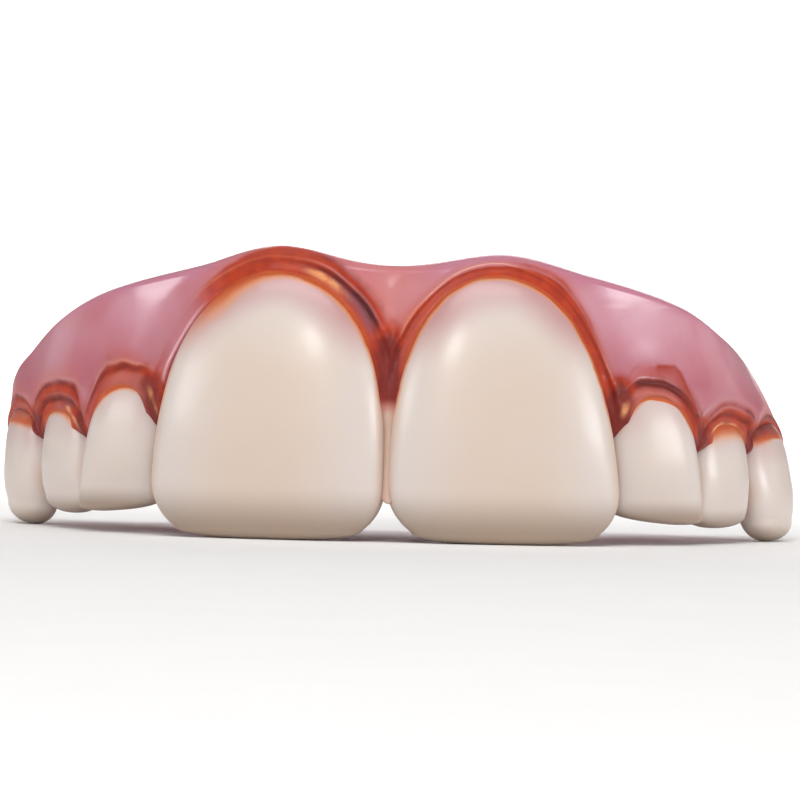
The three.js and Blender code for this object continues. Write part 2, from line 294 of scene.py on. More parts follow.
def moulded_tooth(tooth):
    """A ball pressed ring by ring into a tooth, from its rounded biting edge up to its root."""
    bm = bmesh.new()
    bmesh.ops.create_uvsphere(bm, u_segments=TOOTH_SEGMENTS, v_segments=TOOTH_RINGS, radius=1)
    ball = np.array([v.co for v in bm.verts])
    ring = np.arccos(np.clip(-ball[:, 2], -1, 1)) / math.pi
    around = np.arctan2(-ball[:, 1], ball[:, 0])
    spread = np.minimum(ring / EDGE_RINGS, 1)
    climb = np.maximum(ring - EDGE_RINGS, 0) / (1 - EDGE_RINGS)
    share = np.clip((1 - np.cos(math.pi * climb)) / 2, 0, 1)
    full = tooth.height + tooth.root
    edge_round = tooth.bite * (1 - np.sqrt(1 - np.clip(spread, 0, 1) ** tooth.bite_power))
    up = np.where(ring < EDGE_RINGS, edge_round, tooth.bite + share * (full - tooth.bite))
    level = np.maximum(up, tooth.bite) / full
    dome = np.clip(1 - level ** tooth.rise_power, 0, 1) ** (1 / tooth.spread_power)
    ramp = np.sin(np.minimum(level / EDGE_RAMP, 1) * math.pi / 2)
    taper = np.sqrt(np.clip(1 - level ** tooth.depth_power, 0, 1))
    depth = (tooth.edge + (1 - tooth.edge) * ramp) * taper
    cos = np.cos(around)
    sin = np.sin(around)
    corner = np.where(cos > 0, tooth.corner, tooth.inner_corner)
    low = 1 - np.minimum(level * full / corner, 1)
    cut = np.minimum(corner, CORNER_SHARE * tooth.width)
    half = tooth.width / 2 * dome - cut * (1 - np.sqrt(1 - low ** 2))
    reach = np.where(sin > 0, tooth.front, tooth.back)
    power = 2 / PLAN_ROUNDNESS
    along = spread * half * np.sign(cos) * np.abs(cos) ** power
    up = up + tooth.slope * along * np.clip(1 - up / (SLOPE_SHARE * full), 0, 1)
    out = spread * reach * depth * np.sign(sin) * np.abs(sin) ** power - tooth.lean * up / full
    for vert, place in zip(bm.verts, tooth_point(tooth, along, out, up) * MM):
        vert.co = place
    return piece_from(bm, tooth.name + "_ivory")


class Wire:
    """One value in a finish: sums on it add Math nodes to the finish's tree."""

    def __init__(self, socket):
        self.socket = socket
        self.tree = socket.id_data

    @staticmethod
    def node(tree, kind, output, settings, values):
        made = tree.nodes.new(kind)
        for name, value in settings.items():
            setattr(made, name, value)
        for name, value in values.items():
            socket = next(s for s in made.inputs if s.identifier == name)
            if isinstance(value, Wire):
                tree.links.new(value.socket, socket)
            else:
                socket.default_value = value
        return Wire(next(s for s in made.outputs if s.identifier == output)) if output else None

    def sum(self, operation, first, second):
        return Wire.node(
            self.tree, "ShaderNodeMath", "Value", {"operation": operation},
            {"Value": first, "Value_001": second},
        )

    def __add__(self, other):
        return self.sum("ADD", self, other)

    __radd__ = __add__

    def __sub__(self, other):
        return self.sum("SUBTRACT", self, other)

    def __rsub__(self, other):
        return self.sum("SUBTRACT", other, self)

    def __mul__(self, other):
        return self.sum("MULTIPLY", self, other)

    __rmul__ = __mul__

    def __truediv__(self, other):
        return self.sum("DIVIDE", self, other)

    def __rtruediv__(self, other):
        return self.sum("DIVIDE", other, self)

    def __pow__(self, other):
        return self.sum("POWER", self, other)

    def __rpow__(self, other):
        return self.sum("POWER", other, self)

    def step(self, low, high, start=0.0, end=1.0):
        return Wire.node(
            self.tree, "ShaderNodeMapRange", "Result", {"interpolation_type": "SMOOTHSTEP"},
            {"Value": self, "From Min": low, "From Max": high, "To Min": start, "To Max": end},
        )

    def band(self, middle, width):
        away = (self - middle) / width
        return 2.718 ** (0 - away * away)

    def mix(self, first, second):
        return Wire.node(
            self.tree, "ShaderNodeMix", "Result_Color", {"data_type": "RGBA"},
            {"Factor_Float": self, "A_Color": first, "B_Color": second},
        )


def dye(red, green, blue):
    """A colour as the eye reads it, 0 to 255, in the light-linear numbers that a finish takes."""
    linear = [
        c / 12.92 if c <= 0.04045 else ((c + 0.055) / 1.055) ** 2.4
        for c in (red / 255, green / 255, blue / 255)
    ]
    return (*linear, 1.0)


def new_finish(name):
    material = bpy.data.materials.new(name)
    material.use_nodes = True
    material.node_tree.nodes.clear()
    return material, material.node_tree


def noted(tree, name):
    return Wire.node(tree, "ShaderNodeAttribute", "Fac", {"attribute_name": name}, {})


def grain(tree, scale, detail):
    place = Wire.node(tree, "ShaderNodeTexCoord", "Object", {}, {})
    return Wire.node(
        tree, "ShaderNodeTexNoise", "Fac", {},
        {"Vector": place, "Scale": scale, "Detail": detail, "Roughness": 0.5},
    )


def put_finish(tree, values):
    shader = Wire.node(
        tree, "ShaderNodeBsdfPrincipled", "BSDF", {"subsurface_method": "RANDOM_WALK"}, values,
    )
    Wire.node(tree, "ShaderNodeOutputMaterial", None, {}, {"Surface": shader})


ACRYLIC_IOR = 1.49
IVORY = dye(218, 207, 201)
IVORY_CORE = dye(217, 199, 184)
EDGE_GREY_AND_SHADE = dye(158, 137, 119)
NECK_BLUSH = dye(194, 147, 147)
CONTACT_SHADE_TAN = dye(206, 166, 134)
THIN_GLAZE = dye(224, 148, 92)
THICK_GLAZE = dye(196, 84, 34)
BEAD_ORANGE = dye(190, 82, 50)
BEAD_ROSE = dye(200, 108, 82)
BEAD_DARK = dye(142, 56, 50)
ROOT_BROWN = dye(122, 42, 36)
tooth_finish, tree = new_finish("ivory_acrylic")
inside = noted(tree, "inside")
rise = noted(tree, "rise")
side = noted(tree, "side")
stain = noted(tree, "stain")
glaze = noted(tree, "glaze")
cream = noted(tree, "cream")
cloud = grain(tree, 260, 3)
streak = grain(tree, 900, 3)
wander = inside + (grain(tree, 500, 2) - 0.5) * 0.3
core = side.step(0.9, 0.2) * rise.step(0.98, 0.6) * cloud.step(0.2, 0.7, 0.8, 1.0) * cream
shade = core.mix(IVORY, IVORY_CORE)
# Darker towards the biting edge: partly the grey translucency of the thin edge, partly painted
# shade on the edge that faces down.
shade = rise.step(0.21, 0.03, 0.0, 0.9).mix(shade, EDGE_GREY_AND_SHADE)
blush = wander.step(3.4, 0.2) * rise.step(0.62, 0.86) * cream.step(0.3, 1.0, 0.35, 1.0)
shade = (blush * 0.95).mix(shade, NECK_BLUSH)
# Tan along the lower sides of each tooth: painted shade where neighbouring teeth meet.
contact_shade = inside.step(0.9, 0.0) * rise.step(0.75, 0.45)
shade = (contact_shade * 0.5).mix(shade, CONTACT_SHADE_TAN)
reach = wander / glaze
shade = (reach.step(1.3, 0.3) * stain * 0.8).mix(shade, THIN_GLAZE)
shade = (reach.step(0.7, 0.0) * stain).mix(shade, THICK_GLAZE)
bead = streak.step(0.3, 0.7).mix(BEAD_ORANGE, BEAD_ROSE)
bead = (noted(tree, "dark").step(0.8, 1.25) * 0.8).mix(bead, BEAD_DARK)
shade = (inside.step(0.0, -0.5) * stain).mix(shade, bead)
shade = (inside.step(-0.45, -1.0) * stain * 0.85).mix(shade, ROOT_BROWN)
waviness = grain(tree, 330, 1) * 0.05
dent = Wire.node(
    tree, "ShaderNodeBump", "Normal", {}, {"Strength": 1.0, "Distance": MM, "Height": waviness},
)
put_finish(tree, {
    "Base Color": shade,
    "Roughness": 0.32 + cloud * 0.06,
    "IOR": ACRYLIC_IOR,
    "Normal": dent,
    "Subsurface Weight": 0.45,
    "Subsurface Radius": (1.0, 0.75, 0.55),
    "Subsurface Scale": 1.2 * MM,
    "Coat Weight": 0.2,
    "Coat Roughness": 0.17,
})

for tooth in teeth.values():
    piece = moulded_tooth(tooth)
    points = mesh_points(piece.data)
    place = beside_tooth(tooth, points)
    low_fade = smooth(place.rise, *tooth.stain_from)
    for note, values in {
        "inside": -place.outside,
        "rise": place.rise,
        "side": np.abs(place.side),
        "stain": table_at(tooth.stain, place.angle) * low_fade,
        "cream": np.full(len(points), tooth.cream),
        "glaze": table_at(tooth.glaze, place.angle),
        "dark": table_at(tooth.dark, place.angle),
    }.items():
        note_on_mesh(piece.data, note, values)
    piece.data.materials.append(tooth_finish)
    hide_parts(tooth.name)
    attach(piece, "root")


# Gum base: a horseshoe channel of translucent pink acrylic that slips over the wearer's own teeth.
# It is cast around the roots in one pour, rolled up into a collar at every neck and polished,
# and brown stain is brushed into the collars before the last coat of gloss.
ARCH_HALF_WIDTH = 31.45
ARCH_REACH = 24.0
ARCH_CENTRE_Y = 13.6
ARCH_ROUNDNESS = 2.2
ARCH_END_ANGLE = 88.8
COLUMNS = 640
PLAN_STEPS = 4001
END_COLUMNS = 4
END_ROUND = 0.45
END_EASE = 0.6
END_Y = 13.3
FRONT_ROWS = 112
LIP_ROWS = 9
LIP_LENGTH = 3.0
INNER_ROWS = 26
LOW_FRONT_Z = 4.6
LIP_Z = 20.4
FLOOR_Z = 6.0
FLANGE_TOP_Z = 21.0
LEAN_POWER = 1.5
FLANGE_FADE = (5.0, 9.0)
FRONT_FADE = (0.9, 3.0)
LIP_RISE = (19.4, 20.5)
LOW_FADE = (0.4, 0.85)
FACE_INSET = 0.01
TUCK = 2.2
TUCK_TOP_Z = 8.5

# Cross-section behind the front face: how far in from the front, and height
SECTION_BEHIND_FRONT = [
    (0.0, 20.4), (0.4, 20.9), (1.0, 21.0), (2.0, 20.4), (3.2, 18.0), (4.3, 15.0), (5.0, 11.0),
    (5.2, 6.0), (13.2, 6.0), (13.4, 11.8), (14.2, 12.4), (15.0, 11.8), (15.2, 6.0), (14.9, 4.2),
    (14.2, 3.5), (3.1, 3.5), (2.4, 3.8), (0.0, 4.6),
]

# Top of the front flange along the arch: angle from the middle, height, inward lean
FLANGE_LINE = [
    (-90, 10.6, -0.05), (-80, 12.6, 0.68), (-71, 14.1, 1.2), (-57, 16.95, 1.35), (-46, 18.6, 1.2),
    (-27, 20.6, 1.0), (-14.5, 22.15, 1.0), (0, 20.8, 1.0), (14.5, 21.8, 1.0), (27, 20.5, 1.0),
    (46, 18.3, 1.4), (57, 16.3, 1.9), (71, 13.7, 2.5), (80, 12.2, 2.6), (90, 10.8, 2.6),
]
COLLAR_REACH = 1.8
COLLAR_UNEVEN = 0.045
UNDER_PULL = 4.0
NECK_FADE = 2.5
ROLL_BLEND = 0.4
STAIN_BLEND = 0.25
SWELL = 0.25
SWELL_WIDTH = 0.8
SWELL_RISE = (0.6, 2.6)
SWELL_FADE = (3, 8)
LOW_SEAT = -1.0

# The thin web of gum that joins the two front teeth
WEB_MIDDLE = 0.2
WEB_WIDTH = 0.9
WEB_FORWARD = 1.8
WEB_DROP = 0.44
WEB_TINT_WIDTH = 1.2
WEB_TINT_TOP = (9.2, 11.0)

# Where the brushed colour gathers between two collars, pales, stops at the ends or turns coral
CORE_WIDTH = 2.3
CORE_FADE = (1.8, 5.2)
PALER = 0.55
PALER_RISE = (0.2, 1.4)
PALER_FADE = (5, 8)
STAIN_STOP_Y = (11.9, 12.8)
# Both ends of the arch take painted shade from here
END_RISE = (25.5, 30)
MIDDLE_WIDTH = 3.2
MIDDLE_RISE_Z = (13, 15)

# A second brushed line outside the collar: angle round the neck, place in collars, strength
OUTER_LINES = {
    "central_incisor_left": [
        (-62, 1.2, 0.1), (-45, 1.5, 0.35), (-25, 1.55, 0.5), (-5, 1.40, 0.9), (14, 1.25, 0.7),
        (30, 1.15, 0.4), (45, 1.1, 0),
    ],
    "central_incisor_right": [
        (-50, 1.2, 0), (4, 1.1, 0), (14, 1.45, 0.8), (30, 1.7, 1), (42, 1.45, 0.9), (50, 1.1, 0.5),
        (58, 1, 0),
    ],
    "lateral_incisor_left": [(-60, 1.1, 0.4), (0, 1.25, 0.15), (60, 1.2, 0.3)],
    "lateral_incisor_right": [
        (-60, 1.5, 0.8), (-30, 1.7, 0.3), (0, 1.8, 0.1), (40, 1.5, 0.2), (60, 1.3, 0.4),
    ],
    "canine_left": [(-60, 1.5, 0.9), (0, 1.76, 0.8), (60, 1.6, 1)],
    "canine_right": [(-60, 1.4, 0.5), (0, 1.5, 1), (60, 1.4, 1)],
    "premolar_left": [(-60, 1.9, 0.6), (0, 2.3, 0.8), (60, 2.2, 0.6)],
    "premolar_right": [(-60, 1.6, 0.9), (0, 1.8, 1), (60, 1.6, 0.8)],
}

# Gold highlights painted on the stain: angle round the neck, place in collars, length and width
GOLD_GLINTS = {
    "central_incisor_left": [(-22, 0.45, 1.6, 0.22)],
    "lateral_incisor_left": [(-36, 0.28, 0.40, 0.16), (-46, 0.20, 0.25, 0.12)],
    "lateral_incisor_right": [(-40, 1.15, 0.35, 0.25), (-36, 0.30, 0.4, 0.28)],
    "canine_left": [(-24, 0.30, 0.5, 0.22), (-40, 0.20, 0.5, 0.18)],
    "canine_right": [(-20, 0.10, 0.9, 0.2), (12, 0.15, 0.7, 0.16)],
    "premolar_left": [(-26, 0.25, 0.7, 0.25)],
    "premolar_right": [(-34, 0.15, 0.6, 0.2)],
}

# A stray patch of stain above the right lateral tooth: the edge of it, along the tooth and height
STRAY_TOOTH = "lateral_incisor_right"
STRAY_EDGE = np.array([(1.0, 11.9), (2.6, 11.9), (3.1, 11.4), (4.0, 8.6)])
STRAY_FADE = 0.9
STRAY_BLUR = 0.3


def flange_at(angle, column):
    """Height or inward lean of the flange along the arch, eased through its table."""
    rows = np.array(FLANGE_LINE)
    at, value = rows[:, 0], rows[:, column]
    slope = np.empty_like(value)
    slope[1:-1] = (value[2:] - value[:-2]) / (at[2:] - at[:-2])
    slope[0] = (value[1] - value[0]) / (at[1] - at[0])
    slope[-1] = (value[-1] - value[-2]) / (at[-1] - at[-2])
    index = np.clip(np.searchsorted(at, angle) - 1, 0, len(at) - 2)
    span = at[index + 1] - at[index]
    t = (angle - at[index]) / span
    start = value[index] * (1 + 2 * t) * (1 - t) ** 2 + slope[index] * span * t * (1 - t) ** 2
    end = value[index + 1] * t * t * (3 - 2 * t) - slope[index + 1] * span * t * t * (1 - t)
    return start + end


def arch_point(angle, inset):
    power = 2 / ARCH_ROUNDNESS
    sideways = np.sign(angle) * np.abs(np.sin(angle)) ** power
    forward = np.abs(np.cos(angle)) ** power
    return (ARCH_HALF_WIDTH - inset) * sideways, ARCH_CENTRE_Y - (ARCH_REACH - inset) * forward


def eased_section():
    """The cross-section behind the front face, with its corners eased, as inset and level rows."""
    path = np.array(SECTION_BEHIND_FRONT)
    for _ in range(3):
        cut = np.empty((2 * len(path) - 2, 2))
        cut[0::2] = path[:-1] * 0.75 + path[1:] * 0.25
        cut[1::2] = path[:-1] * 0.25 + path[1:] * 0.75
        path = np.vstack([path[:1], cut, path[-1:]])
    length = np.concatenate([[0], np.cumsum(np.hypot(*np.diff(path, axis=0).T))])
    lip = np.linspace(0, LIP_LENGTH, LIP_ROWS, endpoint=False)[1:]
    inner = np.linspace(LIP_LENGTH, length[-1], INNER_ROWS)
    at = np.concatenate([lip, inner])
    return np.interp(at, length, path[:, 0]), np.interp(at, length, path[:, 1])


def collar_place(tooth, place):
    """Distance from the neck in collars, with the unevenness of a collar shaped by hand."""
    turn = np.radians(place.angle)
    seed = tooth.across * 1.7 + tooth.sign
    uneven = (
        np.sin(5 * turn + seed)
        + 0.7 * np.sin(9 * turn + 2.3 * seed)
        + 0.5 * np.sin(14 * turn + 4.1 * seed)
    )
    shaped = COLLAR_UNEVEN * uneven * smooth(place.outside, -0.4, 0.6)
    return place.outside / table_at(tooth.collar, place.angle) + shaped


def gum_notes(points):
    """For gum points: place on the nearest collar, and how stain and painted light lie there."""
    near = [(tooth, beside_tooth(tooth, points)) for tooth in teeth.values()]
    outside = np.stack([place.outside for _, place in near])
    order = np.sort(outside, axis=0)
    weight = np.exp(-(outside - order[0]) / STAIN_BLEND)
    weight /= weight.sum(axis=0)
    brushed = ("stain", "dark", "peach", "silver_sheen", "ridge_light_and_shade", "reach")
    notes = {name: np.zeros(len(points)) for name in (*brushed, "margin", "outer", "ink", "gold")}
    for share, (tooth, place) in zip(weight, near):
        line = OUTER_LINES[tooth.name]
        collar = collar_place(tooth, place)
        notes["margin"] += share * collar
        for name in brushed:
            notes[name] += share * table_at(getattr(tooth, name), place.angle)
        notes["outer"] += share * (collar - table_at([(a, p) for a, p, _ in line], place.angle))
        notes["ink"] += share * table_at([(a, s) for a, _, s in line], place.angle)
        half = tooth.width / 2
        for turn, glint_spot, long, wide in GOLD_GLINTS.get(tooth.name, []):
            way = np.radians(place.angle - turn) * half
            notes["gold"] += share * bell(way, 0, long) * bell(collar, glint_spot, wide)
        if tooth.name == STRAY_TOOTH:
            spots = np.stack([place.side * half, points[:, 2] - tooth.lift], axis=1)
            away = line_distance(STRAY_EDGE, spots)
            edge_x = np.interp(-spots[:, 1], -STRAY_EDGE[1:, 1], STRAY_EDGE[1:, 0])
            within = (spots[:, 1] < STRAY_EDGE[0, 1]) & (spots[:, 0] < edge_x)
            notes["stray"] = np.where(
                within, np.exp(-away / STRAY_FADE), 1 - smooth(away, 0.0, STRAY_BLUR),
            )
    across, back, up = points.T
    nearest, second = order[:2]
    between = bell(second - nearest, 0, CORE_WIDTH) * (1 - smooth(nearest + second, *CORE_FADE))
    paler = PALER * smooth(across, *PALER_RISE) * (1 - smooth(across, *PALER_FADE))
    notes["core"] = between * (1 - paler)
    notes["stain"] *= 1 - smooth(back, *STAIN_STOP_Y)
    notes["end"] = smooth(np.abs(across), *END_RISE)
    notes["middle"] = bell(across, WEB_MIDDLE, MIDDLE_WIDTH) * smooth(up, *MIDDLE_RISE_Z)
    notes["web"] = bell(across, WEB_MIDDLE, WEB_TINT_WIDTH) * (1 - smooth(up, *WEB_TINT_TOP))
    return notes


def sculpt_front(points, hold):
    """Draws the front of the gum up to each tooth and rolls it into a collar around the neck."""
    move = np.zeros_like(points)
    total = np.zeros(len(points))
    fine = np.zeros_like(points)
    swell = np.zeros_like(points)
    near = [(tooth, beside_tooth(tooth, points)) for tooth in teeth.values()]
    least = np.stack([place.outside for _, place in near]).min(axis=0)
    fine_total = np.zeros(len(points))
    low_seat = LOW_SEAT + WEB_FORWARD * bell(points[:, 0], WEB_MIDDLE, WEB_WIDTH)
    for tooth, place in near:
        outward = np.array([tooth.sign * tooth.sin, -tooth.cos, 0.0])
        under = np.clip(-place.outside / COLLAR_REACH, 0, 1)
        weight = bell(np.maximum(place.outside, 0), 0, COLLAR_REACH) * (1 + UNDER_PULL * under)
        neck = smooth(points[:, 2], tooth.neck - NECK_FADE, tooth.neck)
        seat = low_seat + (table_at(tooth.seat, place.angle) - low_seat) * neck
        push = seat - tooth.lean * np.minimum(place.rise, 1) - place.out
        move += outward * (push * weight)[:, None]
        total += weight
        collar = collar_place(tooth, place)
        roll = sum(
            table_at(high, place.angle) * bell(collar, at, wide) for at, wide, high in tooth.roll
        )
        share = np.exp(-((place.outside - least) / ROLL_BLEND))
        fine += outward * (roll * neck * share)[:, None]
        fine_total += share
        if tooth.kind == "lateral":
            above = smooth(place.outside, *SWELL_RISE) * (1 - smooth(place.outside, *SWELL_FADE))
            bulge = bell(place.side, 0, SWELL_WIDTH) * above
            swell += outward * (SWELL * bulge)[:, None]
    move /= np.maximum(total, 1)[:, None]
    fine /= np.maximum(fine_total, 1e-6)[:, None]
    return points + (move + fine + swell) * hold[:, None]


fine_angle = np.radians(ARCH_END_ANGLE) * np.linspace(-1, 1, PLAN_STEPS)
plan_x, plan_y = arch_point(fine_angle, 0.0)
run = np.concatenate([[0], np.cumsum(np.hypot(np.diff(plan_x), np.diff(plan_y)))])
column_angle = np.interp(np.linspace(0, run[-1], COLUMNS + 1), run, fine_angle)
rest_inset, rest_level = eased_section()
row_inset = np.concatenate([np.zeros(FRONT_ROWS + 1), rest_inset])
row_level = np.concatenate([np.linspace(LOW_FRONT_Z, LIP_Z, FRONT_ROWS + 1), rest_level])
rows = len(row_inset) - 1

bm = bmesh.new()
steps = COLUMNS + 2 * END_COLUMNS
bmesh.ops.create_grid(bm, x_segments=steps, y_segments=rows, size=1)
flat = np.array([v.co for v in bm.verts])
step = np.rint((flat[:, 0] + 1) / 2 * steps).astype(int) - END_COLUMNS
column = np.clip(step, 0, COLUMNS)
row = np.rint((flat[:, 1] + 1) / 2 * rows).astype(int)
angle = column_angle[column]
inset = row_inset[row]
level = row_level[row]
turned = np.degrees(angle)
share = np.maximum(level - FLOOR_Z, 0) / (FLANGE_TOP_Z - FLOOR_Z)
height = np.minimum(level, FLOOR_Z) + share * (flange_at(turned, 1) - FLOOR_Z)
face = inset < FACE_INSET
web = bell(arch_point(angle, 0.0)[0], WEB_MIDDLE, WEB_WIDTH) * face
below = np.maximum(TUCK_TOP_Z - height, 0)
height = height - below * WEB_DROP * web
on_flange = 1 - smooth(inset, *FLANGE_FADE)
lean = on_flange * flange_at(turned, 2) * share ** LEAN_POWER
front_share = 1 - smooth(inset, *FRONT_FADE)
tuck = TUCK * (1 - smooth(height, LOW_FRONT_Z, TUCK_TOP_Z)) * (1 - web) * face
across, back = arch_point(angle, inset + lean + tuck)
placed = sculpt_front(np.stack([across, back, height], axis=1), front_share)

# Each end is rounded over: its rings shrink along their eased inward direction
for end in (0, COLUMNS):
    ring = np.empty((rows + 1, 2))
    at_end = step == end
    ring[row[at_end]] = placed[at_end][:, [0, 2]]
    run_of_ring = np.roll(ring, -1, axis=0) - np.roll(ring, 1, axis=0)
    run_of_ring /= np.maximum(np.linalg.norm(run_of_ring, axis=1), 1e-9)[:, None]
    inward = np.stack([-run_of_ring[:, 1], run_of_ring[:, 0]], axis=1)
    area = np.sum(ring[:, 0] * np.roll(ring[:, 1], -1) - np.roll(ring[:, 0], -1) * ring[:, 1])
    inward *= np.sign(area)
    along = np.concatenate([[0], np.cumsum(np.hypot(*np.diff(ring, axis=0).T))])
    gap = np.abs(along[:, None] - along)
    near = bell(np.minimum(gap, along[-1] - gap), 0, END_EASE) * np.gradient(along)
    inward = near @ inward / near.sum(axis=1)[:, None]
    beyond = (step < 0) if end == 0 else (step > COLUMNS)
    turn = np.abs(step[beyond] - end) / END_COLUMNS * math.pi / 2
    shift = inward[row[beyond]] * (END_ROUND * (1 - np.cos(turn)))[:, None]
    placed[beyond, 0] += shift[:, 0]
    placed[beyond, 1] += (END_Y - placed[beyond, 1]) * np.sin(turn)
    placed[beyond, 2] += shift[:, 1]
parts = {
    "front": front_share,
    "lip": smooth(level, *LIP_RISE) * front_share,
    "low": 1 - smooth(share, *LOW_FADE),
}
layers = [bm.verts.layers.float.new(name) for name in parts]
for vert, point, *values in zip(bm.verts, placed * MM, *parts.values()):
    vert.co = point
    for layer, value in zip(layers, values):
        vert[layer] = value
bmesh.ops.remove_doubles(bm, verts=bm.verts, dist=1e-7)
rim = [edge for edge in bm.edges if edge.is_boundary]
ends = bmesh.ops.holes_fill(bm, edges=rim, sides=0)["faces"]
bmesh.ops.triangulate(bm, faces=ends, ngon_method="EAR_CLIP")
gum = piece_from(bm, "gum_base_pink")
for note, values in gum_notes(mesh_points(gum.data)).items():
    note_on_mesh(gum.data, note, values)

PALE_PINK = dye(208, 149, 162)
DEEP_PINK = dye(196, 119, 131)
CLOUD_PINK = dye(200, 128, 138)
LIP_SHADE_PINK = dye(194, 122, 142)
LOW_SHADE_ROSE = dye(182, 94, 106)
MIDDLE_CORAL = dye(202, 118, 108)
END_SHADE_ROSE = dye(176, 92, 104)
HALO_CORAL = dye(202, 104, 92)
STAIN_ORANGE = dye(186, 57, 6)
STAIN_RUST = dye(166, 44, 6)
PEACH_STAIN_AND_PAINTED_LIGHT = dye(192, 104, 92)
STAIN_GOLD = dye(214, 112, 52)
CREST_HIGHLIGHT_ORANGE = dye(218, 140, 108)
CREST_HIGHLIGHT_PINK = dye(212, 154, 162)
GROOVE_STAIN_AND_SHADE = dye(92, 20, 18)
LINE_RED = dye(172, 62, 40)
LINE_BROWN = dye(104, 24, 20)
RIDGE_HIGHLIGHT_PINK = dye(226, 174, 180)
RIDGE_SHADOW_RED = dye(156, 62, 64)
SILVER_SHEEN_ROSE = dye(150, 86, 94)
STRAY_RUST = dye(164, 46, 10)
DEEP_RED = dye(122, 28, 16)
GLINT_GOLD = dye(236, 162, 104)
WEB_ROSE = dye(190, 120, 108)
WEB_CREAM = dye(208, 176, 158)
gum_finish, tree = new_finish("stained_pink_acrylic")
front = noted(tree, "front").step(0.45, 0.95)
lip = noted(tree, "lip")
stain = noted(tree, "stain") * front
dark = noted(tree, "dark")
core = noted(tree, "core") * front
web = noted(tree, "web") * front
blotch = grain(tree, 140, 2)
cloud = grain(tree, 420, 3)
streak = grain(tree, 900, 3)
margin = noted(tree, "margin") + (cloud - 0.5) * 0.22
outer = noted(tree, "outer") + (cloud - 0.5) * 0.22
ink = noted(tree, "ink") * stain
pink = blotch.step(0.3, 0.7).mix(PALE_PINK, DEEP_PINK)
pink = (cloud.step(0.35, 0.75) * 0.35).mix(pink, CLOUD_PINK)
# The top rim is painted darker: painted shade where the rim's edge turns away from the light.
pink = lip.mix(pink, LIP_SHADE_PINK)
middle = noted(tree, "middle") * front
end = noted(tree, "end") * front
# Deeper rose over the lower part of the front: painted shade below the sheen of the upper gum.
pink = (noted(tree, "low") * front * 0.8).mix(pink, LOW_SHADE_ROSE)
pink = (middle * 0.7).mix(pink, MIDDLE_CORAL)
# Deeper rose towards both ends of the arch: painted shade where the gum turns away from the lamps.
pink = (end * 0.8).mix(pink, END_SHADE_ROSE)
peach = noted(tree, "peach")
spread = margin / noted(tree, "reach")
halo = spread.step(1.9, 0.95) * stain
colour = (halo * 0.6).mix(pink, HALO_CORAL)
orange = streak.step(0.3, 0.7).mix(STAIN_ORANGE, STAIN_RUST)
# Peach in place of orange near the neck: a paler stain on the small teeth, and painted light on the
# right front tooth's flank that lies in shade.
orange = (peach * margin.step(0.78, 0.5) * 0.9).mix(orange, PEACH_STAIN_AND_PAINTED_LIGHT)
band = spread.step(1.08, 0.85) * stain
colour = band.mix(colour, orange)
gold = margin.step(0.26, 0.02) * stain * (1 - peach * 0.6) * streak.step(0.25, 0.6, 0.4, 0.9)
colour = (gold * 0.7).mix(colour, STAIN_GOLD)
# A pale line along the crest of the collar's roll: painted highlight on the crest, lilac-pink where
# the collar is dark.
crest_highlight = margin.band(1.06, 0.08) * stain * (1 - ink)
crest_highlight_tint = dark.step(0.5, 0.9).mix(CREST_HIGHLIGHT_ORANGE, CREST_HIGHLIGHT_PINK)
colour = (crest_highlight * 0.65).mix(colour, crest_highlight_tint)
# Dark brown in the groove of the collar: stain pooled in the groove, and painted shade down in it.
groove = margin.band(0.80, 0.09 + 0.12 * dark) * dark * stain * streak.step(0.2, 0.6, 0.6, 1.0)
second = outer.band(0.0, 0.20) * ink * streak.step(0.25, 0.65, 0.55, 1.0)
colour = (groove * 0.95).mix(colour, GROOVE_STAIN_AND_SHADE)
brown = dark.step(0.3, 0.8).mix(LINE_RED, LINE_BROWN)
colour = (second * 0.9).mix(colour, brown)
# Beside the far side of the left front tooth: a painted highlight on the pale ridge and a thin
# painted shadow between the ridge and the tooth.
ridge_light_and_shade = noted(tree, "ridge_light_and_shade") * front
colour = (ridge_light_and_shade * margin.band(0.30, 0.10) * 0.8).mix(colour, RIDGE_HIGHLIGHT_PINK)
colour = (ridge_light_and_shade * margin.band(0.08, 0.07) * 0.7).mix(colour, RIDGE_SHADOW_RED)
# Greyish lilac over the stain in the collar's groove: painted sheen where the groove catches the
# light.
silver_sheen = noted(tree, "silver_sheen") * margin.band(0.50, 0.22) * stain * streak.step(0.3, 0.6, 0.5, 1.0)
colour = (silver_sheen * 0.85).mix(colour, SILVER_SHEEN_ROSE)
stray = noted(tree, "stray") * streak.step(0.2, 0.6, 0.75, 1.0) * front
colour = stray.mix(colour, STRAY_RUST)
deep = core * stain * streak.step(0.2, 0.7, 0.7, 1.0)
colour = deep.step(0.0, 0.3).mix(colour, orange)
colour = (deep.step(0.16, 0.6) * 0.9).mix(colour, DEEP_RED)
